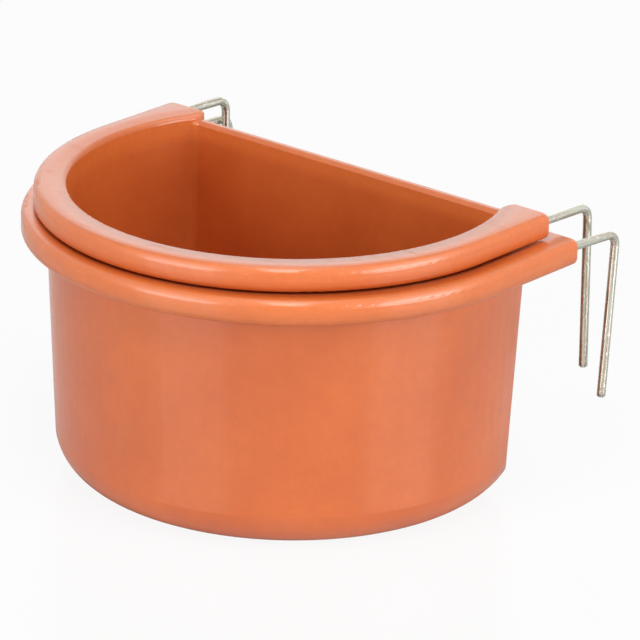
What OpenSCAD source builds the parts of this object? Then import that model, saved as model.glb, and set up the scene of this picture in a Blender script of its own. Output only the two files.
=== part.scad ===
// Half-round hanging seed cups: a smaller cup nested in a larger one, each with a bent wire holder.
// The curved side faces -Y and the flat back faces +Y, towards the bars that the hooks hang on.
// The origin is on the lower cup's base, at the centre of its curved side.

/* [Lower cup] */
// Radius of the lower rim's outer edge
lower_rim_r = 60; // [54:0.5:75]
// How far the lower rim's ends lie behind the centre of its curve
lower_back = 28.2; // [24:0.2:34]
// Height of the lower cup from its base to its rim's top
lower_height = 61.5; // [45:0.5:90]
// Outside radius of the lower cup's two upright back corners, under the rim
lower_corner_r = 10.4; // [6:0.2:12]

/* [Upper cup] */
// How much smaller the upper rim's radius is
rim_step = 3.7; // [3.7:0.1:4.4]
// How much nearer to its centre the upper rim's ends lie
back_step = 4.1; // [3:0.1:6]
// How much lower the upper cup is than the lower cup
height_step = 3.5; // [1:0.5:10]
// Outside radius of the upper cup's two upright back corners, under the rim
upper_corner_r = 4; // [3:0.2:6]

/* [Nesting] */
// Gap from the lower rim's top to the underside of the upper rim
seat_gap = 0.3; // [0.1:0.1:1]
// Room between the upper cup's wall and the inside of the lower cup's wall, when centred
wall_gap = 2.1; // [1.9:0.1:2.6]
// How far the upper cup lies to the right of the lower cup's centre
nest_x = -1.4; // [-1.4:0.1:1.4]
// How far the upper cup lies behind the lower cup's centre
nest_y = 0.1; // [-0.6:0.1:0.6]

/* [Walls] */
// Thickness of the walls
wall_t = 1.8; // [1.2:0.1:2.4]
// Thickness of the base
base_t = 2; // [1.2:0.1:3]
// Draft of the walls in degrees
wall_draft = 2.5; // [1:0.1:4]
// Outside rounding between the walls and the base
foot_fillet_r = 10.6; // [6:0.2:14]
// Step forward from the rim's ends to the outside of the back wall
back_inset = 3.1; // [2:0.1:3.6]
// Drop from the rim's top to the top of the back wall, and rounding of the rim's inner edge
back_drop = 1.3; // [0.8:0.1:1.6]
// Rounding of the inner edge on top of the back wall
back_edge_r = 1.1; // [0.6:0.1:1.3]

/* [Rim] */
// Height of the rim
rim_h = 5.5; // [5.2:0.1:8]
// How far the rim stands out from the wall
rim_width = 5.7; // [5:0.1:8]
// Rounding of the rim's top edge
rim_top_round = 1.7; // [0.8:0.1:2.2]
// Rounding of the rim's lower edge
rim_foot_round = 1.3; // [0.4:0.1:1.5]
// Thickness of the skirt that hangs round the rim
skirt_t = 1.7; // [1.5:0.1:2]
// Thickness of the rim's top over the wire
skin_t = 1.4; // [1:0.1:1.8]
// Thickness of the wall that closes each end of the rim
end_wall_t = 2.2; // [1.2:0.1:2.6]
// Rounding of the rim end's outer upright corner
end_corner_r = 2.6; // [2:0.1:2.8]
// Rounding of the rim end's lower edge
end_foot_r = 2.7; // [1.4:0.1:3]
// Rounding of the rim end's upper edge
end_top_r = 1.5; // [0.8:0.1:1.6]
// Rounding of the rim end's inner upright corner
end_inner_r = 3.5; // [2.5:0.1:4]

/* [Wire holders] */
// Diameter of the wire
wire_d = 2; // [1.6:0.1:2.2]
// Room round the wire in the rim
wire_gap = 0.1; // [0.05:0.05:0.2]
// Reach of the hooks from the rim's ends to the corner over the legs
hook_reach = 15.9; // [10:0.1:30]
// Length of the hooks' legs from that corner to the tip
hook_drop = 38.4; // [20:0.2:60]
// Bend radius of the hooks, to the middle of the wire
hook_bend_r = 3; // [2:0.1:5]
// Slope of the lower hooks' runs in degrees, down towards the back
lower_droop = 3.3; // [0.5:0.1:5]
// Slope of the upper hooks' runs in degrees, down towards the back
upper_droop = 2.3; // [0.5:0.1:5]
// Bend radius where the slope starts, to the middle of the wire
droop_bend_r = 12; // [6:0.5:20]
// Lean of the lower hooks' legs in degrees, towards the cup
lower_lean = 4.5; // [-2:0.5:6]
// Lean of the upper hooks' legs in degrees, towards the cup
upper_lean = -1; // [-2:0.5:2]
// Chamfer at the wire's tips
tip_chamfer = 0.3; // [0.1:0.1:0.6]

/* [Wire clips] */
// Number of clips under the wire
clip_count = 5; // [2:1:9]
// Length of each clip along the rim
clip_len = 6; // [3:0.5:10]
// How far each clip reaches in under the wire
clip_reach = 1.1; // [0.7:0.1:1.3]
// Thickness of each clip
clip_t = 1.2; // [0.6:0.1:1.3]
// Rise of each clip's sloping lead-in
clip_lead = 0.7; // [0.3:0.1:1]

/* [Hidden] */
$fn = 96;

// Overrun of cuts past the faces that they open
over = 1;
// How much larger than tangent a rounding between two walls is, so that its edges lie on both
meet_share = 0.01;
// How far a straight run of wire reaches into its neighbouring bends
joint_len = 0.1;
// How much smaller the radius of a straight run is than that of a bend
joint_step = 0.01;

lower_wall_r = lower_rim_r - rim_width;

upper_rim_r = lower_rim_r - rim_step;
upper_wall_r = lower_wall_r - wall_t - wall_gap;
upper_back = lower_back - back_step;
upper_height = lower_height - height_step;
upper_z = lower_height + seat_gap + rim_h - upper_height;

// The wire's middle, inwards from the rim's edge and down from the rim's top
wire_in = skirt_t + wire_gap + wire_d / 2;
wire_down = skin_t + wire_gap + wire_d / 2;

plastic = [0.84, 0.42, 0.25];
steel = [0.66, 0.65, 0.61];

// What a rounding of radius r takes off a square corner at the origin's upper right
module edge_waste(r) {
    difference() {
        square(r + over);
        circle(r = r);
    }
}

// Half of a drafted section: width is its reach at the height rise, and its lower edge is rounded
module wall_section(width, rise, top, draft, round_r, from = 0) {
    foot = width - rise * tan(draft);
    head = width + (top - rise) * tan(draft);
    round_x = foot + round_r * (tan(draft) - 1 / cos(draft));
    far = 2 * round_r;
    difference() {
        polygon([[from, 0], [foot, 0], [head, top], [from, top]]);
        if (round_r > 0)
            translate([round_x, round_r])
                difference() {
                    polygon([
                        [0, 0],
                        [0, -far],
                        [far, -far],
                        [far * cos(draft), -far * sin(draft)]
                    ]);
                    circle(r = round_r * (1 + meet_share));
                }
    }
}

// A drafted solid with a round front, a flat back and two rounded upright corners
module half_round(r, back, corner_r, rise, top, draft, round_r) {
    reach = 1.5 * r;
    difference() {
        intersection() {
            translate([-reach, 0, 0])
                rotate([90, 0, 90])
                    linear_extrude(2 * reach) wall_section(back, rise, top, draft, round_r, -reach);
            rotate_extrude() wall_section(r, rise, top, draft, round_r);
        }
        for (side = [0, 1])
            mirror([side, 0, 0])
                corner_waste(
                    corner_middle(r, back, corner_r, draft, -rise),
                    corner_middle(r, back, corner_r, draft, top - rise),
                    top, corner_r, r
                );
    }
}

// Middle of an upright corner's rounding, at a height above the one that r and back are given at
function corner_middle(r, back, corner_r, draft, height) =
    let (
        inset = corner_r / cos(draft) - height * tan(draft),
        y = back - inset
    )
    [sqrt(pow(r - inset, 2) - pow(y, 2)), y];

// What the rounding of an upright corner takes off: a leaning wedge less a leaning post
module corner_waste(low, high, top, corner_r, r) {
    shift = high - low;
    heading = atan2(shift.y, shift.x);
    lean = atan2(norm(shift), top);
    post_r = corner_r * (1 + meet_share);
    translate([low.x, low.y, 0])
        rotate([0, 0, heading])
            rotate([0, lean, 0])
                rotate([0, 0, -heading])
                    difference() {
                        translate([0, 0, -r / 4])
                            linear_extrude(top + r / 2)
                                polygon([[0, 0], [r, r * low.y / low.x], [r, r], [0, r]]);
                        translate([0, 0, -r / 2]) cylinder(r = post_r, h = top + r);
                    }
}

// Section of the rim: a band from z = 0 up to rim_h, whose outer edge is rounded above and below
module band_section(width, foot_r, top_r, from = 0) {
    difference() {
        translate([from, 0]) square([width - from, rim_h]);
        translate([width - top_r, rim_h - top_r]) edge_waste(top_r);
        translate([width - foot_r, foot_r]) mirror([0, 1]) edge_waste(foot_r);
    }
}

// A slab from z = 0 with a half-round front of radius r and straight sides that run back to y = back
module slab(r, back) {
    rotate([0, 0, 180]) rotate_extrude(angle = 180) children();
    for (side = [0, 1])
        mirror([side, 0, 0])
            translate([0, back, 0]) rotate([90, 0, 0]) linear_extrude(back) children();
}

// Middle of the rounding on the rim end's inner corner, between the mouth's circle and the end face
function end_middle(mouth_r, back) =
    let (y = back - end_inner_r)
    [sqrt(pow(mouth_r + end_inner_r, 2) - pow(y, 2)), y];

// What that rounding takes off: a wedge less a post whose foot spreads as the rim's inner edge does
module end_inner_waste(mouth_r, back, from = -over) {
    middle = end_middle(mouth_r, back);
    inner_share = (mouth_r - back_drop - over) / (mouth_r + end_inner_r);
    post_r = end_inner_r * (1 + meet_share);
    lip_r = back_drop * (1 + meet_share);
    difference() {
        translate([0, 0, from])
            linear_extrude(rim_h + over / 2 - from)
                polygon([
                    middle,
                    [middle.x, back + over],
                    [middle.x - end_inner_r - back_drop - 2 * over, back + over],
                    middle * inner_share
                ]);
        translate(middle)
            rotate_extrude()
                difference() {
                    translate([0, -2 * over]) square([post_r + lip_r, rim_h + 3 * over]);
                    translate([post_r, rim_h - back_drop]) edge_waste(lip_r);
                }
    }
}

// What the rounding of the rim end's outer corner takes off: a block less a post with rounded edges
module end_outer_waste() {
    post_r = end_corner_r * (1 + meet_share);
    difference() {
        translate([0, 0, -over])
            linear_extrude(rim_h + 1.5 * over) square(end_corner_r + over);
        rotate_extrude()
            difference() {
                translate([0, -2 * over]) square([post_r, rim_h + 3 * over]);
                translate([post_r - rim_top_round, rim_h - rim_top_round])
                    edge_waste(rim_top_round * (1 + meet_share));
                translate([post_r - rim_foot_round, rim_foot_round])
                    mirror([0, 1]) edge_waste(rim_foot_round * (1 + meet_share));
            }
    }
}

// The rim before the wall joins it: hollow from below, closed at its ends, z = 0 at its underside
module rim(rim_r, back, mouth_r) {
    gap_x = end_middle(mouth_r, back).x - end_inner_r - back_drop;
    gap_y = back - back_inset - wall_t / 2;
    wire_x = rim_r - wire_in;
    hollow_h = rim_h - skin_t;
    difference() {
        intersection() {
            slab(rim_r, back) band_section(rim_r, rim_foot_round, rim_top_round);
            translate([-rim_r - over, 0, 0])
                rotate([90, 0, 90])
                    linear_extrude(2 * (rim_r + over))
                        band_section(back, end_foot_r, end_top_r, -rim_r - over);
        }
        // The hollow for the wire, less the cheeks at the inner side of the rim's ends
        difference() {
            translate([0, 0, -over])
                slab(rim_r - skirt_t, back - end_wall_t)
                    square([rim_r - skirt_t, hollow_h + over]);
            for (side = [0, 1])
                mirror([side, 0, 0])
                    translate([gap_x, gap_y, -2 * over])
                        cube([wall_t, back_inset + wall_t, rim_h + 3 * over]);
        }
        // The gap behind the back wall
        translate([-gap_x, gap_y, -over])
            cube([2 * gap_x, back_inset + wall_t, rim_h + 2 * over]);
        for (side = [0, 1])
            mirror([side, 0, 0]) {
                end_inner_waste(mouth_r, back);
                translate([rim_r - end_corner_r, back - end_corner_r, 0]) end_outer_waste();
                // The notch that the wire leaves through
                translate([wire_x, back + over, rim_h - wire_down])
                    rotate([90, 0, 0])
                        cylinder(d = wire_d + 2 * wire_gap, h = end_wall_t + 2 * over);
                translate([wire_x - wire_d / 2 - wire_gap, back - end_wall_t - over, -over])
                    cube([wire_d + 2 * wire_gap, end_wall_t + 2 * over, rim_h - wire_down + over]);
            }
    }
    clips(rim_r - skirt_t);
}

// Snap clips on the skirt's inner face, just under the wire
module clips(skirt_r) {
    clip_angle = clip_len / skirt_r * 180 / PI;
    ledge = rim_h - wire_down - wire_d / 2 - wire_gap;
    for (k = [1 : clip_count])
        rotate([0, 0, 180 + k * 180 / (clip_count + 1) - clip_angle / 2])
            rotate_extrude(angle = clip_angle)
                polygon([
                    [skirt_r - clip_reach, ledge],
                    [skirt_r + skirt_t / 2, ledge],
                    [skirt_r + skirt_t / 2, ledge - clip_t],
                    [skirt_r, ledge - clip_t],
                    [skirt_r - clip_reach, ledge - clip_t + clip_lead]
                ]);
}

// Section of what a rounding takes off a wall's inner edge, which lies at z = 0 and at width + r:
// width is the inside's at z = -r, and more lengthens the section down inside it and up
module lip_section(width, r, from = 0, more = 0) {
    difference() {
        translate([from, -r - more]) square([width + r - from, r + over + 2 * more]);
        translate([width + r, -r]) circle(r = r * (1 + meet_share));
        if (more > 0)
            translate([width - 2 * meet_share * r, -r - 2 * more]) square([2 * r, 2 * more]);
    }
}

// What the rounding of the back wall's inner edge takes off, down from z = 0, where r and back are
// the inside's: it stays short of the curved wall, and follows the inside's upright corners
module back_lip(r, back, corner_r) {
    growth = back_edge_r * tan(wall_draft);
    limit_r = r - 2 * meet_share * back_drop;
    middle = corner_middle(r - growth, back - growth, corner_r, 0, 0);
    difference() {
        intersection() {
            translate([-2 * r, 0, 0])
                rotate([90, 0, 90])
                    linear_extrude(4 * r) lip_section(back - growth, back_edge_r, -2 * r);
            rotate_extrude()
                polygon([
                    [0, -2 * over],
                    [limit_r - 2 * over * tan(wall_draft), -2 * over],
                    [limit_r, 0],
                    [limit_r, 2 * over],
                    [0, 2 * over]
                ]);
        }
        for (side = [0, 1])
            mirror([side, 0, 0])
                translate(middle)
                    difference() {
                        translate([0, 0, -2 * over])
                            linear_extrude(4 * over)
                                polygon([[0, 0], [r, r * middle.y / middle.x], [r, r], [0, r]]);
                        rotate_extrude()
                            lip_section(corner_r * (1 + meet_share), back_edge_r, 0, over);
                    }
    }
}

// One cup, its base at z = 0
module cup(rim_r, wall_r, back, height, corner_r) {
    rise = height - rim_h;
    back_y = back - back_inset;
    in_r = wall_r - wall_t;
    in_y = back_y - wall_t;
    in_corner_r = corner_r - wall_t;
    // The inside's growth by its draft from the rim's underside up to the back wall's top
    spread = (rim_h - back_drop) * tan(wall_draft);
    mouth_r = in_r + spread + back_drop;
    difference() {
        union() {
            translate([0, 0, rise]) rim(rim_r, back, mouth_r);
            half_round(wall_r, back_y, corner_r, rise, height - skin_t / 2, wall_draft, foot_fillet_r);
        }
        translate([0, 0, base_t])
            half_round(
                in_r, in_y, in_corner_r,
                rise - base_t, height - base_t + over, wall_draft, foot_fillet_r - wall_t
            );
        // The mouth over the back wall's top, with the rounding of the rim's inner edge
        translate([0, 0, height]) rotate_extrude() lip_section(in_r + spread, back_drop);
        translate([0, 0, height - back_drop]) back_lip(in_r + spread, in_y + spread, in_corner_r);
        for (side = [0, 1])
            mirror([side, 0, 0])
                translate([0, 0, rise]) end_inner_waste(mouth_r, back, rim_h - back_drop);
    }
}

// A straight length of wire along +Z, joined into the bends at its ends, then what follows it
module wire_run(len) {
    translate([0, 0, -joint_len]) cylinder(d = wire_d - 2 * joint_step, h = len + 2 * joint_len);
    translate([0, 0, len]) children();
}

// A bend of the wire from +Z towards +X, then what follows it
module wire_bend(r, angle) {
    translate([r, 0, 0])
        mirror([1, 0, 0])
            rotate([90, 0, 0])
                rotate_extrude(angle = angle) translate([r, 0]) circle(d = wire_d);
    translate([r - r * cos(angle), 0, r * sin(angle)]) rotate([0, angle, 0]) children();
}

// The last straight length of wire along +Z, with a chamfer round its tip
module wire_end(len) {
    run_r = wire_d / 2 - joint_step;
    rotate_extrude()
        polygon([
            [0, -joint_len],
            [run_r, -joint_len],
            [run_r, len - tip_chamfer],
            [run_r - tip_chamfer, len],
            [0, len]
        ]);
}

// One hook, from where the wire leaves its curve: back through the rim's end, over and down
module hook(back, droop, lean) {
    corner_turn = 90 - droop + lean;
    slope_half = droop_bend_r * tan(droop / 2);
    corner_half = hook_bend_r * tan(corner_turn / 2);
    run = (hook_reach - slope_half) / cos(droop) - slope_half - corner_half;
    rotate([-90, 0, 0])
        rotate([0, 0, 90])
            wire_run(back)
                wire_bend(droop_bend_r, droop)
                    wire_run(run)
                        wire_bend(hook_bend_r, corner_turn)
                            wire_end(hook_drop - corner_half);
}

// One wire holder: a hoop round the front under the rim's top, and a hook at each end
module wire_holder(rim_r, back, height, droop, lean) {
    hoop_r = rim_r - wire_in;
    translate([0, 0, height - wire_down]) {
        rotate([0, 0, 180]) rotate_extrude(angle = 180) translate([hoop_r, 0]) circle(d = wire_d);
        for (side = [0, 1])
            mirror([side, 0, 0]) translate([hoop_r, 0, 0]) hook(back, droop, lean);
    }
}

module lower_cup() {
    color(plastic) cup(lower_rim_r, lower_wall_r, lower_back, lower_height, lower_corner_r);
}

module lower_wire_holder() {
    color(steel) wire_holder(lower_rim_r, lower_back, lower_height, lower_droop, lower_lean);
}

module upper_cup() {
    color(plastic)
        translate([nest_x, nest_y, upper_z])
            cup(upper_rim_r, upper_wall_r, upper_back, upper_height, upper_corner_r);
}

module upper_wire_holder() {
    color(steel)
        translate([nest_x, nest_y, upper_z])
            wire_holder(upper_rim_r, upper_back, upper_height, upper_droop, upper_lean);
}

lower_cup();
lower_wire_holder();
upper_cup();
upper_wire_holder();
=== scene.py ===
# %% [markdown]
# # Two nested seed cups on wire holders
# The object is a half-round seed cup of moulded plastic that stands in a larger cup of the same
# form. A bent steel wire lies hidden under each rim and comes out at the back as two hooks, which
# hang the cup on the bars of a cage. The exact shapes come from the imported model, which the first
# cell loads as a frame that never moves. The lesson then adds what a solid model lacks: plastic
# with the marks of its mould, drawn wire with its own grain, soft light and a camera.

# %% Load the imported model
import math

import bpy
import numpy as np
from mathutils import Matrix, Vector


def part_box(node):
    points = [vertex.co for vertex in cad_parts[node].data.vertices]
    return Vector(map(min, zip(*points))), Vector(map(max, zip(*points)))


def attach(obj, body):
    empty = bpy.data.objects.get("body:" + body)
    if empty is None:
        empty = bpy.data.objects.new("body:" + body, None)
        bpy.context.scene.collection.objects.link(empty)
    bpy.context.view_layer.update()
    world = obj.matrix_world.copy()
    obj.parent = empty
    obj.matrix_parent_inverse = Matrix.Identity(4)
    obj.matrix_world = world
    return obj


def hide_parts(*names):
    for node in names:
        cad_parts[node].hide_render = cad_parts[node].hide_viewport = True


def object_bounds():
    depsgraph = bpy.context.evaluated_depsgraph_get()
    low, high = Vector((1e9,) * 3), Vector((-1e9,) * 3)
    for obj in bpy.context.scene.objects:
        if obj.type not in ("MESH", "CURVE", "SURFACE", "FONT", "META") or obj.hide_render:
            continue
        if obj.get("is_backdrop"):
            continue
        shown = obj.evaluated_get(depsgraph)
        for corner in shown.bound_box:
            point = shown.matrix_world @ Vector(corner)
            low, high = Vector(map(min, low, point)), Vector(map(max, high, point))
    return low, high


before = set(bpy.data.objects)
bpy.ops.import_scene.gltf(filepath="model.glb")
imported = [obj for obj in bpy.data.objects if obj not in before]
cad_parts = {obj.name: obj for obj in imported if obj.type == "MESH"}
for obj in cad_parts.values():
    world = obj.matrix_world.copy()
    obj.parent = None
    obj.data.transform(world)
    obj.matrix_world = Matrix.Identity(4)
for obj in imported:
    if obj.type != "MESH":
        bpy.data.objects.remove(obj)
cad_low, cad_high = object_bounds()
print("nodes:", sorted(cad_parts))
print("size of the model in mm:", [round(1000 * s, 1) for s in cad_high - cad_low])

# %% [markdown]
# ## Units and colours
# Blender works in metres, and the sizes of a cup are easier to read in millimetres, so one
# constant turns one into the other. Colours are easier to choose as they look on a screen, from 0
# to 255, but a shader wants the amount of light, so a small function converts them once, here,
# and the materials below stay readable.

# %% Units and colours
MM = 0.001


def screen_colour(red, green, blue):
    """A colour from 0 to 255 as a screen shows it, turned into light: c/12.92 for the darkest
    tones, and otherwise ((c + 0.055)/1.055) to the power 2.4."""
    c = np.array([red, green, blue]) / 255
    light = np.where(c <= 0.04045, c / 12.92, ((c + 0.055) / 1.055) ** 2.4)
    return (*(float(value) for value in light), 1.0)


print("terracotta as light:", [round(v, 3) for v in screen_colour(214, 110, 60)])

# %% [markdown]
# ## Where the two cups lie
# Sizes could be typed in again, but then the scene would go wrong as soon as the model changes.
# So they are read from the frame. A cup's box gives the ends of its rim and the level of its base,
# and the middle of its curve lies half way between its left and right sides. The wire's box gives
# the radius of its hoop. The mouth's radius is that of the innermost points of the rim's flat top.
# What a box can't tell is given: here two angles of each wire, in degrees, and further down the
# bends of its hooks. A bent wire never comes out quite square, so behind the rim each one slopes a
# little, and its legs lean.

# %% Measure the cups and the wires
CUPS = {
    "lower": {"cup": "lower_cup", "wire": "lower_wire_holder", "slope": 3.3, "lean": 4.5},
    "upper": {"cup": "upper_cup", "wire": "upper_wire_holder", "slope": 2.3, "lean": -1.0},
}
WIRE_RADIUS = 1.0 * MM
LEVEL_SLACK = 0.01 * MM


def mouth_radius(cup, middle, height):
    """The least distance from the upright line through the middle to a point on the flat top,
    which is the root of x squared plus y squared."""
    mesh = cup.data
    points = np.empty(3 * len(mesh.vertices), np.float32)
    mesh.vertices.foreach_get("co", points)
    points = points.reshape(-1, 3) - np.array(middle)
    on_top = points[:, 2] > height - LEVEL_SLACK
    return float(np.linalg.norm(points[on_top, :2], axis=1).min())


for name, part in CUPS.items():
    low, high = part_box(part["cup"])
    wire_low, wire_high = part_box(part["wire"])
    radius = (high.x - low.x) / 2
    middle = Vector(((low.x + high.x) / 2, low.y + radius, low.z))
    part["middle"] = middle
    part["rim_top"] = high.z
    part["rim_end"] = high.y
    part["rim_radius"] = radius
    part["mouth_radius"] = mouth_radius(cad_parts[part["cup"]], middle, high.z - low.z)
    part["hoop_radius"] = (wire_high.x - wire_low.x) / 2 - WIRE_RADIUS
    part["wire_level"] = wire_high.z - WIRE_RADIUS
    for key in ("rim_radius", "mouth_radius", "hoop_radius"):
        print(name, key, "in mm:", round(part[key] / MM, 2))

# %% [markdown]
# ## Shader maths as plain expressions
# A material's pattern is a long chain of small sums. Drawn node by node it hides its own idea, so
# two small classes let Python write it. `Tone` wraps one socket and turns `+`, `-`, `*` and `**`
# into Math nodes, also with a number on the left. `Finish` owns the nodes of a material, or of the
# world, and makes any other node from its type, its settings and its inputs.

# %% A socket that can be reckoned with
class Tone:
    """One output socket, on which sums can be written."""

    def __init__(self, finish, socket):
        self.finish = finish
        self.socket = socket

    def beside(self, output):
        """Another output of the same node."""
        return Tone(self.finish, self.socket.node.outputs[output])

    def __add__(self, other):
        return self.finish.maths("ADD", self, other)

    def __radd__(self, other):
        return self.finish.maths("ADD", other, self)

    def __sub__(self, other):
        return self.finish.maths("SUBTRACT", self, other)

    def __rsub__(self, other):
        return self.finish.maths("SUBTRACT", other, self)

    def __mul__(self, other):
        return self.finish.maths("MULTIPLY", self, other)

    def __rmul__(self, other):
        return self.finish.maths("MULTIPLY", other, self)

    def __pow__(self, other):
        return self.finish.maths("POWER", self, other)


print("a Tone wraps one socket and can be used with + - * and **")

# %% [markdown]
# ## Nodes from one method
# Every node below is made by `Finish.node`. The other methods only name the few kinds that come
# again and again: a span held between 0 and 1, a mix of two colours, noise, a stretched place and
# a bump. The Mix node keeps the sockets of all its kinds side by side, so its colours are numbered.

# %% The nodes of a finish
MIX_SHARE, MIX_FIRST, MIX_SECOND, MIX_COLOUR = 0, 6, 7, 2


class Finish:
    """The nodes of one material or of the world."""

    def __init__(self, owner):
        self.owner = owner
        self.owner.use_nodes = True
        self.tree = self.owner.node_tree
        self.tree.nodes.clear()

    def node(self, kind, settings=None, sockets=None, output=0):
        """Makes a node, sets its settings first, then fills or links its sockets, and gives back
        the wanted output."""
        node = self.tree.nodes.new(kind)
        for key, value in (settings or {}).items():
            setattr(node, key, value)
        for key, value in (sockets or {}).items():
            if isinstance(value, Tone):
                self.tree.links.new(value.socket, node.inputs[key])
            else:
                node.inputs[key].default_value = value
        return Tone(self, node.outputs[output])

    def maths(self, operation, *values):
        """One Math node on one or two values."""
        return self.node("ShaderNodeMath", {"operation": operation}, dict(enumerate(values)))

    def spread(self, value, low, high):
        """How far a value is on its way from low to high, held between 0 and 1."""
        sockets = {"Value": value, "From Min": low, "From Max": high}
        return self.node("ShaderNodeMapRange", {"clamp": True}, sockets)

    def blend(self, share, first, second):
        """Two colours mixed by a share."""
        sockets = {MIX_SHARE: share, MIX_FIRST: first, MIX_SECOND: second}
        return self.node("ShaderNodeMix", {"data_type": "RGBA"}, sockets, MIX_COLOUR)

    def noise(self, place, rate=1.0, detail=2.0, rough=0.5):
        """Smooth noise from 0 to 1 at a place; the rate is in spots per metre."""
        sockets = {"Vector": place, "Scale": rate, "Detail": detail, "Roughness": rough}
        return self.node("ShaderNodeTexNoise", {}, sockets)

    def stretched(self, place, x, y, z):
        """The same place with each axis multiplied by its own factor."""
        return self.node("ShaderNodeMapping", {}, {"Vector": place, "Scale": (x, y, z)})

    def bump(self, height, distance):
        """A normal that is tilted by a height pattern; distance is its depth in metres."""
        sockets = {"Strength": 1.0, "Distance": distance, "Height": height}
        return self.node("ShaderNodeBump", {}, sockets)

    def close(self, shader, kind="ShaderNodeOutputMaterial"):
        """Joins the shader to the output and hands over the owner."""
        output = self.tree.nodes.new(kind)
        self.tree.links.new(shader.socket, output.inputs["Surface"])
        return self.owner


print("a Finish makes nodes for maths, spread, blend, noise, stretched and bump")

# %% [markdown]
# ## The soft shape of the rim
# The top of the real rim is a little crowned, and its lower edge is rounded more than the solid's.
# A rounder copy could take the cup's place, but then it would no longer be the imported shape, so
# the difference is left to the shading. A wide, slow height in the bump falls off with the square
# of
# the way to each edge, as a crown does: towards the outer edge, towards the mouth, and down the
# outer face. The light then runs over the rim as over a rounded one, and the outline stays that of
# the solid.

# %% The crown of the rim
OUTER_SHOULDER = 3.8 * MM
OUTER_DEPTH = 1.1
MOUTH_EDGE = 1.3 * MM
MOUTH_SHOULDER = 4.4 * MM
MOUTH_DEPTH = 2.6
FOOT_START = 2.4 * MM
FOOT_END = 6.3 * MM
FOOT_DEPTH = 1.9
BAND_FROM = 1.6 * MM
BAND_FULL = 0.8 * MM


def rim_crown(f, part, from_middle, from_plane, z):
    """A height in millimetres: minus each depth times the square of how far a point is on its way
    over that shoulder. The fall at the foot counts only on the outer face of the band."""
    rim, mouth, top = part["rim_radius"], part["mouth_radius"], part["rim_top"]
    outer = f.spread(from_plane, rim - OUTER_SHOULDER, rim)
    inner = 1.0 - f.spread(from_middle, mouth - MOUTH_EDGE, mouth + MOUTH_SHOULDER)
    on_band = f.spread(from_plane, rim - BAND_FROM, rim - BAND_FULL)
    lower = (1.0 - f.spread(z, top - FOOT_END, top - FOOT_START)) * on_band
    return -OUTER_DEPTH * outer ** 2.0 - MOUTH_DEPTH * inner ** 2.0 - FOOT_DEPTH * lower ** 2.0


inner_width = round((MOUTH_EDGE + MOUTH_SHOULDER) / MM, 1)
print("towards the mouth the crown falls", MOUTH_DEPTH, "mm over", inner_width, "mm")

# %% [markdown]
# ## The gate mark
# Molten plastic enters such a mould in the middle of the base. Where the runner is broken off, it
# leaves a small nub in a shallow disc, a little paler than the rest. It could be two tiny solids,
# but they would be hidden under the cup and cost faces, so two round masks on the base are enough:
# they go into the bump, and the disc also into the colour.

# %% The gate mark
GATE_DISC = (4.0 * MM, 4.4 * MM)
GATE_NUB = (0.7 * MM, 1.1 * MM)
BASE_SKIN = 0.3 * MM


def gate_mark(f, from_middle, z, base):
    """Two masks, 1 within the first radius of each pair and 0 beyond the second, on the base."""
    on_base = 1.0 - f.spread(z, base, base + BASE_SKIN)
    disc = (1.0 - f.spread(from_middle, *GATE_DISC)) * on_base
    nub = (1.0 - f.spread(from_middle, *GATE_NUB)) * on_base
    return disc, nub


print("gate disc in mm:", [round(radius / MM, 1) for radius in GATE_DISC])

# %% [markdown]
# ## Marks of the mould and of use
# The cups are injection moulded. Such a surface is never quite even: the pigment flows in faint
# clouds, the polished steel of the mould leaves a satin skin with a very fine orange peel, and
# pulling the cup off its core draws faint upright lines. Handling adds hair-fine scuffs along the
# top of the rim. Painted images would show where they end, so each mark is a noise on the object's
# own coordinates, which has no edge and stays put when a cup is lifted. Coordinates that are
# stretched turn its spots into lines: few spots per metre upwards give the upright lines, and few
# to the side give level hairs.

# %% Marks on the plastic
BAND_FOOT = 6.5 * MM
SCUFFS_FULL = 1.0 * MM


def plastic_marks(f, place, z, top):
    """Five patterns from 0 to 1. The first four are plain noise. The scuffs are the highest part
    of a noise of level hairs, times how far up the rim a point lies."""
    clouds = f.noise(place, rate=38.0, detail=3.0, rough=0.55)
    mottle = f.noise(place, rate=420.0, detail=2.0, rough=0.6)
    peel = f.noise(place, rate=1500.0, detail=1.0, rough=0.4)
    draw_lines = f.noise(f.stretched(place, 900.0, 900.0, 14.0), detail=2.0, rough=0.6)
    hairs = f.noise(f.stretched(place, 90.0, 700.0, 1400.0), detail=3.0, rough=0.7)
    scuffs = f.spread(hairs, 0.60, 0.72) * f.spread(z, top - BAND_FOOT, top - SCUFFS_FULL)
    return clouds, mottle, peel, draw_lines, scuffs


print("scuffs reach down", round(BAND_FOOT / MM, 1), "mm from the top of the rim")

# %% [markdown]
# ## The colour of the plastic
# One pigment colours the plastic right through, so the marks change its colour only a little: the
# clouds lighten it, the mottle darkens it, and a scuff or the broken gate leaves it paler. The rim
# is a double layer, and its band is painted paler as a whole: painted light, for the light that its
# outer face catches. One flat colour would look like paint. Each colour is mixed over the last one
# by its own mask.

# %% Colour of the plastic
PALE_FULL = 4.0 * MM
DEEP_CLOUD = screen_colour(196, 92, 36)
LIGHT_CLOUD = screen_colour(209, 105, 45)
# Painted light: a paler tone for the rim band, standing in for the light that the rim catches.
RIM_PAINTED_LIGHT = screen_colour(226, 120, 54)
MOTTLE_SPOT = screen_colour(184, 84, 36)
SCUFF_HAIR = screen_colour(236, 160, 118)
GATE_BLUSH = screen_colour(222, 136, 92)


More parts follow.
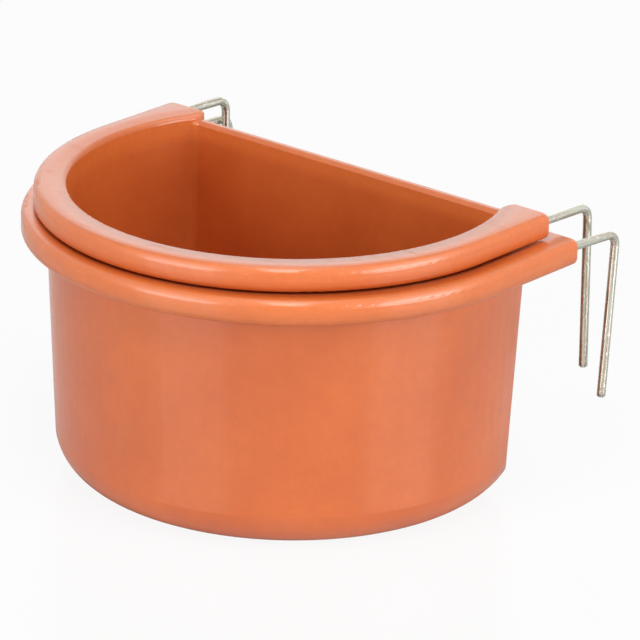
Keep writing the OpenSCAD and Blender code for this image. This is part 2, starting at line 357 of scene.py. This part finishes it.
def plastic_colour(f, clouds, mottle, scuffs, disc, z, top):
    """Two tones by the clouds, and over them the rim's painted lighter tone, which stands in for
    the light the rim catches, then the mottle, the scuffs and the disc of the gate mark, each by a
    share of its own mask."""
    # The share of the painted lighter tone: full on the rim band, none below it.
    rim_light_share = f.spread(z, top - BAND_FOOT, top - PALE_FULL)
    colour = f.blend(f.spread(clouds, 0.30, 0.70), DEEP_CLOUD, LIGHT_CLOUD)
    colour = f.blend(rim_light_share * 0.60, colour, RIM_PAINTED_LIGHT)
    colour = f.blend(f.spread(mottle, 0.35, 0.65) * 0.16, colour, MOTTLE_SPOT)
    colour = f.blend(scuffs * 0.22, colour, SCUFF_HAIR)
    return f.blend(disc * 0.50, colour, GATE_BLUSH)


print("the two tones as light:", [[round(v, 3) for v in c] for c in (DEEP_CLOUD, LIGHT_CLOUD)])

# %% [markdown]
# ## The moulded plastic
# The plastic shines in two ways. Its satin body gives broad, quiet sheens, and its smooth outermost
# skin gives the narrow bright lines on the rims. One shine can't do both, so the skin is a coat
# over the body, and the scuffs and clouds wear it down. A little light also scatters inside the
# wall, which softens the thin edges. The marks drive the roughness, the coat and the bump.

# %% Terracotta plastic
GRAIN_DEPTH = 0.012


def terracotta_plastic(name, part):
    """The distances are the root of a sum of two squares: one from the upright line through the
    middle of the curve, and one that counts only what lies in front of it, so that it runs
    straight back along the sides."""
    f = Finish(bpy.data.materials.new(name))
    place = f.node("ShaderNodeTexCoord", {}, {}, "Object")
    x = f.node("ShaderNodeSeparateXYZ", {}, {"Vector": place}, "X")
    y, z = x.beside("Y"), x.beside("Z")
    middle, top = part["middle"], part["rim_top"]
    across, behind = x - middle.x, y - middle.y
    from_middle = (across ** 2.0 + behind ** 2.0) ** 0.5
    from_plane = (across ** 2.0 + f.maths("MINIMUM", behind, 0.0) ** 2.0) ** 0.5

    clouds, mottle, peel, draw_lines, scuffs = plastic_marks(f, place, z, top)
    disc, nub = gate_mark(f, from_middle, z, middle.z)
    colour = plastic_colour(f, clouds, mottle, scuffs, disc, z, top)
    grain = 0.35 * peel + 0.30 * draw_lines + 0.20 * scuffs + 9.0 * nub - 7.0 * disc
    height = rim_crown(f, part, from_middle, from_plane, z) + GRAIN_DEPTH * grain

    plastic = f.node("ShaderNodeBsdfPrincipled", {}, {
        "Base Color": colour,
        "Roughness": 0.32 + 0.07 * clouds + 0.05 * draw_lines + 0.16 * scuffs + 0.03 * mottle,
        "Normal": f.bump(height, MM),
        "IOR": 1.49,
        "Coat Weight": 0.80 - 0.45 * scuffs - 0.20 * clouds,
        "Coat Roughness": 0.15,
        "Subsurface Weight": 0.06,
        "Subsurface Radius": (1.0, 0.35, 0.15),
        "Subsurface Scale": 1.2 * MM,
    })
    return f.close(plastic)


for name, part in CUPS.items():
    material = terracotta_plastic(f"{name}_cup_plastic", part)
    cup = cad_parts[part["cup"]]
    cup.data.materials.clear()
    cup.data.materials.append(material)
    print(cup.name, "gets", material.name, "with", len(material.node_tree.nodes), "nodes")

# %% [markdown]
# ## The bent wire
# Each holder is one length of hard drawn steel wire. It runs round the front in a half circle
# under the rim, goes straight back through the rim's ends, slopes a little, and turns down into a
# leg. A curve with a bevel would be the quick way, but a grid that is worked out along the path
# gives the wire its own coordinates, round it and along it, and the drawing marks can then follow
# every bend. The path is a chain of straight stretches and arcs in the upright plane of one hook,
# mirrored for the other, with the half circle between them.

# %% The path of one hook
HOOK_REACH = 15.9 * MM
HOOK_DROP = 38.4 * MM
HOOK_BEND_RADIUS = 3.0 * MM
SLOPE_BEND_RADIUS = 12.0 * MM
STEP_ON_BENDS = 0.12 * MM
SIDE_STEPS, SLOPE_STEPS, LEG_STEPS = 10, 8, 30


def hook_path(straight, slope, lean):
    """Points of one hook in its upright plane, as distances back and up. Each stretch has a
    length and a turn, and is cut into equal steps. A step of length d at the angle t moves by
    (cos t, sin t) times d times sin(h)/h, where h is half of the angle that the step turns."""
    turn = math.pi / 2 - slope + lean
    slope_half = SLOPE_BEND_RADIUS * math.tan(slope / 2)
    corner_half = HOOK_BEND_RADIUS * math.tan(turn / 2)
    run = (HOOK_REACH - slope_half) / math.cos(slope) - slope_half - corner_half
    stretches = [
        (straight, 0.0, SIDE_STEPS),
        (SLOPE_BEND_RADIUS * slope, slope, SLOPE_STEPS),
        (run, 0.0, SLOPE_STEPS),
        (HOOK_BEND_RADIUS * turn, turn, int(HOOK_BEND_RADIUS * turn / STEP_ON_BENDS)),
        (HOOK_DROP - corner_half, 0.0, LEG_STEPS),
    ]
    lengths = np.concatenate([np.full(n, length / n) for length, _, n in stretches])
    turns = np.concatenate([np.full(n, angle / n) for _, angle, n in stretches])
    after = np.cumsum(turns)
    heading = -(after - turns / 2)
    chord = lengths * np.sinc(turns / 2 / np.pi)
    back = np.concatenate([[0.0], np.cumsum(chord * np.cos(heading))])
    up = np.concatenate([[0.0], np.cumsum(chord * np.sin(heading))])
    return back, up, -np.concatenate([[0.0], after])


back, up, _ = hook_path(0.0, *(math.radians(CUPS["lower"][key]) for key in ("slope", "lean")))
print("tip of a hook in mm, back and up:", round(back[-1] / MM, 1), round(up[-1] / MM, 1))

# %% [markdown]
# ## The whole holder
# The two hooks and the hoop meet where the sides turn into the curve, and all three share one
# radius there, so their points can simply be put one after the other. Besides its place, each
# point needs the direction of travel and the direction sideways, out of the hoop, so that the tube
# around it doesn't twist.

# %% The path of a wire holder
STEP_ON_HOOP = 0.8 * MM
MIRRORED = np.array([-1.0, 1.0, 1.0])


def wire_path(part):
    """The whole wire from the tip of the left leg to the tip of the right one, with a hoop that is
    the radius times (cos t, sin t) for t from a half turn to a whole one. It gives for each point
    its place, the direction sideways out of the hoop, and the direction of travel."""
    middle, radius, level = part["middle"], part["hoop_radius"], part["wire_level"]
    slope, lean = math.radians(part["slope"]), math.radians(part["lean"])
    back, up, heading = hook_path(part["rim_end"] - middle.y, slope, lean)
    steps = int(math.pi * radius / STEP_ON_HOOP)
    turn = np.linspace(math.pi, 2 * math.pi, steps)[1:-1]

    hook = np.stack([np.full_like(back, radius), back, up], 1)
    travel = np.stack([np.zeros_like(back), np.cos(heading), np.sin(heading)], 1)
    hoop = np.stack([radius * np.cos(turn), radius * np.sin(turn), np.zeros_like(turn)], 1)
    hoop_travel = np.stack([-np.sin(turn), np.cos(turn), np.zeros_like(turn)], 1)

    centre = np.concatenate([(hook * MIRRORED)[::-1], hoop, hook])
    travel = np.concatenate([-(travel * MIRRORED)[::-1], hoop_travel, travel])
    side = centre * np.array([1.0, 1.0, 0.0])
    side[: len(hook)] = [-1.0, 0.0, 0.0]
    side[-len(hook):] = [1.0, 0.0, 0.0]
    side /= np.linalg.norm(side, axis=1)[:, None]
    centre += np.array([middle.x, middle.y, level])
    return centre, side, travel


for name, part in CUPS.items():
    print("points along the path of the", name, "wire:", len(wire_path(part)[0]))

# %% [markdown]
# ## From path to tube
# A tube is a circle carried along the path. At every point the circle lies across the direction
# of travel, on the sideways direction and the one that stands on both. The tips of a cut wire
# have a small ground chamfer, so the last rings shrink, and a fan of triangles closes each end.
# The tube is a hundredth of a millimetre thinner than the solid wire, so it stays inside of it.

# %% Rings and faces of a tube
RING = 28
TIP_CHAMFER = 0.3 * MM
TUBE_RADIUS = WIRE_RADIUS - 0.01 * MM


def tube_grid(centre, side, travel, along, radius):
    """A ring of points around each path point: the place is the centre plus the radius times
    (cos of the angle times side, plus sin of the angle times the third direction). Faces join
    neighbours on two rings, and one more point at each tip closes it."""
    third = np.cross(travel, side)
    from_tip = np.minimum(along, along[-1] - along)
    size = radius * np.minimum(1.0, (radius - TIP_CHAMFER + from_tip) / radius)
    angle = np.linspace(0, 2 * np.pi, RING, endpoint=False)
    rings = centre[:, None] + size[:, None, None] * (
        np.cos(angle)[None, :, None] * side[:, None] + np.sin(angle)[None, :, None] * third[:, None]
    )
    points = np.concatenate([rings.reshape(-1, 3), centre[:1], centre[-1:]])

    i, j = np.meshgrid(np.arange(len(centre) - 1), np.arange(RING), indexing="ij")
    corner, beside = i * RING + j, i * RING + (j + 1) % RING
    quads = np.stack([corner, beside, beside + RING, corner + RING], -1).reshape(-1, 4)
    first, last, end_row = len(rings) * RING, len(rings) * RING + 1, (len(centre) - 1) * RING
    j = np.arange(RING)
    start = np.stack([np.full(RING, first), (j + 1) % RING, j], 1)
    end = np.stack([np.full(RING, last), end_row + j, end_row + (j + 1) % RING], 1)
    return points.tolist(), quads.tolist() + start.tolist() + end.tolist()


print("a ring of", RING, "points has sides of", round(math.tau * WIRE_RADIUS / MM / RING, 2), "mm")

# %% [markdown]
# ## Coordinates along the wire
# The pattern of a drawn wire goes round it and along it, and a straight projection would smear at
# every bend. So the mesh carries its own map: one turn is the width of the map, and the height is
# the distance along the wire in metres, so a pattern has the same grain on the hoop, the bends and
# the legs.

# %% Make the two wires
def map_along(mesh, along):
    """The map has the turn, from 0 to 1, across, and the distance along the wire upwards; the
    corners of the two fans lie on the ends of the map."""
    j = np.arange(RING)
    around = np.stack([j, j + 1, j + 1, j], 1) / RING
    u = np.concatenate([np.tile(around, (len(along) - 1, 1)).ravel(), np.zeros(6 * RING)])
    rows = np.stack([along[:-1], along[:-1], along[1:], along[1:]], 1)
    ends = [np.zeros(3 * RING), np.full(3 * RING, along[-1])]
    v = np.concatenate([np.repeat(rows, RING, axis=0).ravel(), *ends])
    layer = mesh.uv_layers.new(name="along_wire")
    layer.data.foreach_set("uv", np.stack([u, v], 1).astype(np.float32).ravel())


def tip_rings(rows, share):
    """Adds a row close to each tip, so that the chamfer gets a ring of its own: the tip's row plus
    a share of the step to its neighbour."""
    first = rows[:1] + (rows[1:2] - rows[:1]) * share
    last = rows[-1:] + (rows[-2:-1] - rows[-1:]) * share
    return np.concatenate([rows[:1], first, rows[1:-1], last, rows[-1:]])


def tube(name, path, radius):
    """The tube around a path, with its map and smooth shading."""
    share = TIP_CHAMFER / np.linalg.norm(path[0][1] - path[0][0])
    centre, side, travel = (tip_rings(rows, share) for rows in path)
    steps = np.linalg.norm(np.diff(centre, axis=0), axis=1)
    along = np.concatenate([[0.0], np.cumsum(steps)])
    points, faces = tube_grid(centre, side, travel, along, radius)
    mesh = bpy.data.meshes.new(name)
    mesh.from_pydata(points, [], faces)
    map_along(mesh, along)
    mesh.polygons.foreach_set("use_smooth", np.ones(len(faces), bool))
    mesh.update()
    piece = bpy.data.objects.new(name, mesh)
    bpy.context.scene.collection.objects.link(piece)
    return piece


for name, part in CUPS.items():
    wire = tube(f"{name}_wire", wire_path(part), TUBE_RADIUS)
    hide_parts(part["wire"])
    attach(wire, name)
    part["wire_piece"] = wire
    print(wire.name, "has", len(wire.data.polygons), "faces")

# %% [markdown]
# ## Drawn steel
# The wire was pulled through a die, which leaves fine lines along it, and it has been handled. Old
# lubricant and rust stain it in warm streaks, grime dulls it in patches, and where it rubs on the
# cage, small flecks are worn bare; their near-white colour is also a painted glint. A plain metal
# would look like new wire. All of it is noise on the wire's own map, stretched by different
# amounts:
# a high rate round the wire with a low one along it gives lines, a low rate both ways gives
# patches, and a very high one along it gives flecks. Lines, grime and flecks go into the roughness,
# stains and flecks into the colour, and the lines also into a shallow bump.

# %% Steel for the wires
LINE_DEPTH = 0.02 * MM
BRIGHT_STEEL = screen_colour(214, 215, 203)
STAINED_STEEL = screen_colour(138, 114, 88)
# Near-white steel for the rubbed flecks: worn bare, and painted brighter than steel as glints.
BARE_FLECK_GLINT = screen_colour(250, 250, 245)


def drawn_steel(name):
    """The seam where the turn closes is hidden by using the cosine and sine of the turn as two
    coordinates, with the distance along the wire as the third."""
    f = Finish(bpy.data.materials.new(name))
    uv = f.node("ShaderNodeUVMap", {"uv_map": "along_wire"}, {})
    turn = f.node("ShaderNodeSeparateXYZ", {}, {"Vector": uv}, "X")
    along = turn.beside("Y")
    angle = turn * math.tau
    sockets = {"X": f.maths("COSINE", angle), "Y": f.maths("SINE", angle), "Z": along}
    place = f.node("ShaderNodeCombineXYZ", {}, sockets)

    lines = f.noise(f.stretched(place, 9.0, 9.0, 60.0), detail=3.0, rough=0.65)
    patches = f.noise(f.stretched(place, 0.6, 0.6, 120.0))
    streaks = f.noise(f.stretched(place, 2.4, 2.4, 45.0))
    flecks = f.noise(f.stretched(place, 3.0, 3.0, 900.0))
    grime = f.spread(patches, 0.48, 0.72)
    dull_lines = f.spread(lines, 0.42, 0.66)
    stained = f.spread(streaks, 0.50, 0.62)
    bare_fleck_glint = f.spread(flecks, 0.60, 0.68) * f.spread(patches, 0.38, 0.55)

    dirt = 0.30 * grime + 0.25 * dull_lines + 0.45 * stained
    # The flecks' near-white colour is worn bare steel and partly a painted glint.
    colour = f.blend(bare_fleck_glint * 0.8, f.blend(dirt, BRIGHT_STEEL, STAINED_STEEL), BARE_FLECK_GLINT)
    steel = f.node("ShaderNodeBsdfPrincipled", {}, {
        "Base Color": colour,
        "Metallic": 1.0,
        "Roughness": 0.24 + 0.12 * grime + 0.14 * dull_lines + 0.2 * bare_fleck_glint,
        "Normal": f.bump(lines, LINE_DEPTH),
    })
    return f.close(steel)


steel = drawn_steel("drawn_steel")
for part in CUPS.values():
    part["wire_piece"].data.materials.append(steel)
print("steel has", len(steel.node_tree.nodes), "nodes")

# %% [markdown]
# ## The floor
# The cup stands on a white floor. It could be lit until it is white, but so much light would wash
# out the cup. So a Light Path node tells the camera's own rays from the rest. To the camera the
# floor glows white for the most part and keeps a soft shadow of the cup. To the cup it is a sheet
# of satin white acrylic that mirrors the soft boxes towards the wall and gives it two quiet sheens.

# %% White floor
WHITE = (1.0, 1.0, 1.0, 1.0)
FLOOR_SIZE = 6.0
FLOOR_LEVEL = -0.05 * MM
FLOOR_GLOW = 0.90


def camera_rays(f):
    """1 for rays from the camera, and otherwise 0."""
    return f.node("ShaderNodeLightPath", {}, {}, "Is Camera Ray")


def white_floor():
    """A square sheet a hair below the cup's base, so that the two don't flicker."""
    half = FLOOR_SIZE / 2
    flat = [(-half, -half), (half, -half), (half, half), (-half, half)]
    mesh = bpy.data.meshes.new("floor")
    mesh.from_pydata([(x, y, FLOOR_LEVEL) for x, y in flat], [], [(0, 1, 2, 3)])
    sheet = bpy.data.objects.new("floor", mesh)
    bpy.context.scene.collection.objects.link(sheet)
    f = Finish(bpy.data.materials.new("white_floor"))
    satin = f.node("ShaderNodeBsdfPrincipled", {}, {
        "Base Color": screen_colour(225, 225, 225),
        "Roughness": 0.22,
    })
    glow = f.node("ShaderNodeEmission", {}, {"Color": WHITE, "Strength": 1.0})
    sockets = {0: camera_rays(f) * FLOOR_GLOW, 1: satin, 2: glow}
    mesh.materials.append(f.close(f.node("ShaderNodeMixShader", {}, sockets)))
    sheet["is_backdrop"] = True
    return sheet


print("the floor is", white_floor().dimensions.x, "m wide")

# %% [markdown]
# ## The surroundings
# Around the cup there is nothing but white, as in a studio with a white backdrop. A backdrop could
# be one more sheet, but the world does the same from all sides. It is white where the camera, a
# metal or a glass shows it, and dim as a lamp, because light from everywhere would flatten the
# shapes and raise every colour above the one that was written.

# %% White world
WORLD_GLOW = 0.12


def white_world():
    """Its strength is 1 for rays from the camera, a metal or a glass, and otherwise dim."""
    f = Finish(bpy.data.worlds.new("studio_white"))
    seen = camera_rays(f)
    seen = seen + (seen.beside("Is Glossy Ray") + seen.beside("Is Transmission Ray"))
    strength = WORLD_GLOW + (1.0 - WORLD_GLOW) * f.maths("MINIMUM", seen, 1.0)
    backdrop = f.node("ShaderNodeBackground", {}, {"Color": WHITE, "Strength": strength})
    return f.close(backdrop, "ShaderNodeOutputWorld")


bpy.context.scene.world = white_world()
print("the world is", bpy.context.scene.world.name)

# %% [markdown]
# ## Camera
# The picture was taken from the front and a little to the right, from about 21 degrees above, and
# from far away with a long lens, because the two rims hardly get smaller towards the back. The
# camera could be turned by hand until it fits, but here its axes are worked out from those angles,
# so that it points at the cup with the slight roll of the original.

# %% Camera
AZIMUTH = math.radians(40.04)
ELEVATION = math.radians(21.11)
ROLL = math.radians(1.22)
DISTANCE = 1034.5 * MM
AIM = Vector((60.8, -61.6, 68.0)) * MM
LENS = 282.9
SENSOR = 36.0
NEAREST, FARTHEST = 0.05, 20.0


def direction(azimuth, elevation):
    """The direction (sin a cos e, -cos a cos e, sin e) from the cup towards a camera or a lamp."""
    flat = math.cos(elevation)
    return Vector((
        math.sin(azimuth) * flat, -math.cos(azimuth) * flat, math.sin(elevation),
    ))


back = direction(AZIMUTH, ELEVATION)
right = Vector((math.cos(AZIMUTH), math.sin(AZIMUTH), 0.0))
up = back.cross(right)
right, up = (
    math.cos(ROLL) * right + math.sin(ROLL) * up,
    math.cos(ROLL) * up - math.sin(ROLL) * right,
)
camera = bpy.data.objects.new("camera", bpy.data.cameras.new("camera"))
camera.data.lens = LENS
camera.data.sensor_width = SENSOR
camera.data.clip_start = NEAREST
camera.data.clip_end = FARTHEST
camera.matrix_world = Matrix.Translation(AIM + DISTANCE * back) @ (
    Matrix((right, up, back)).transposed().to_4x4()
)
bpy.context.scene.collection.objects.link(camera)
bpy.context.scene.camera = camera
print("camera at", [round(v / MM) for v in camera.location])

# %% [markdown]
# ## Soft light
# Four soft boxes light the cup, as in a small studio. Bare bulbs would make hard glints and black
# shadows, while large sheets of light close to the object make soft ones. A long, narrow box
# overhead draws the bright lines along the rounded rims. One at each side of the camera, low
# enough to be mirrored in the floor, gives the wall its two broad sheens and leaves the deep
# inside of the cup in shadow. A faint one behind keeps the back from going dark. Their strength is
# set so that a colour renders about as it is written.

# %% Soft boxes
def soft_box(name, azimuth, elevation, distance, size, glow):
    """A rectangle lamp that looks at the middle of the model. Its power is pi times its area times
    its glow, where a glow of 1 looks as bright as white paper. Angles are in degrees, the rest is
    in metres."""
    middle = (cad_low + cad_high) / 2
    towards = direction(math.radians(azimuth), math.radians(elevation))
    lamp = bpy.data.lights.new(name, "AREA")
    lamp.shape = "RECTANGLE"
    lamp.size, lamp.size_y = size
    lamp.energy = math.pi * size[0] * size[1] * glow
    holder = bpy.data.objects.new(name, lamp)
    turn = towards.to_track_quat("Z", "Y").to_matrix().to_4x4()
    holder.matrix_world = Matrix.Translation(middle + distance * towards) @ turn
    bpy.context.scene.collection.objects.link(holder)
    print(name, "has a power of", round(lamp.energy, 2), "W")


soft_box("overhead_box", azimuth=40.0, elevation=66.0, distance=0.9, size=(0.18, 0.74), glow=9.0)
soft_box("left_box", azimuth=-6.0, elevation=14.0, distance=1.0, size=(0.60, 0.56), glow=5.6)
soft_box("right_box", azimuth=98.0, elevation=16.0, distance=1.0, size=(0.60, 0.60), glow=6.2)
soft_box("back_box", azimuth=218.0, elevation=17.0, distance=1.0, size=(1.00, 0.60), glow=0.7)

# %% [markdown]
# ## Finish
# The colours are shown without a film curve. The last cell prints how far the dressed model reaches
# beyond the box of the solid one.

# %% Write the sizes and finish
bpy.context.scene.view_settings.view_transform = "Standard"
low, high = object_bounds()
steps_outside = [max(cad_low[i] - low[i], high[i] - cad_high[i]) for i in range(3)]
print("largest step outside the solid model in mm:", round(max(steps_outside) / MM, 3))
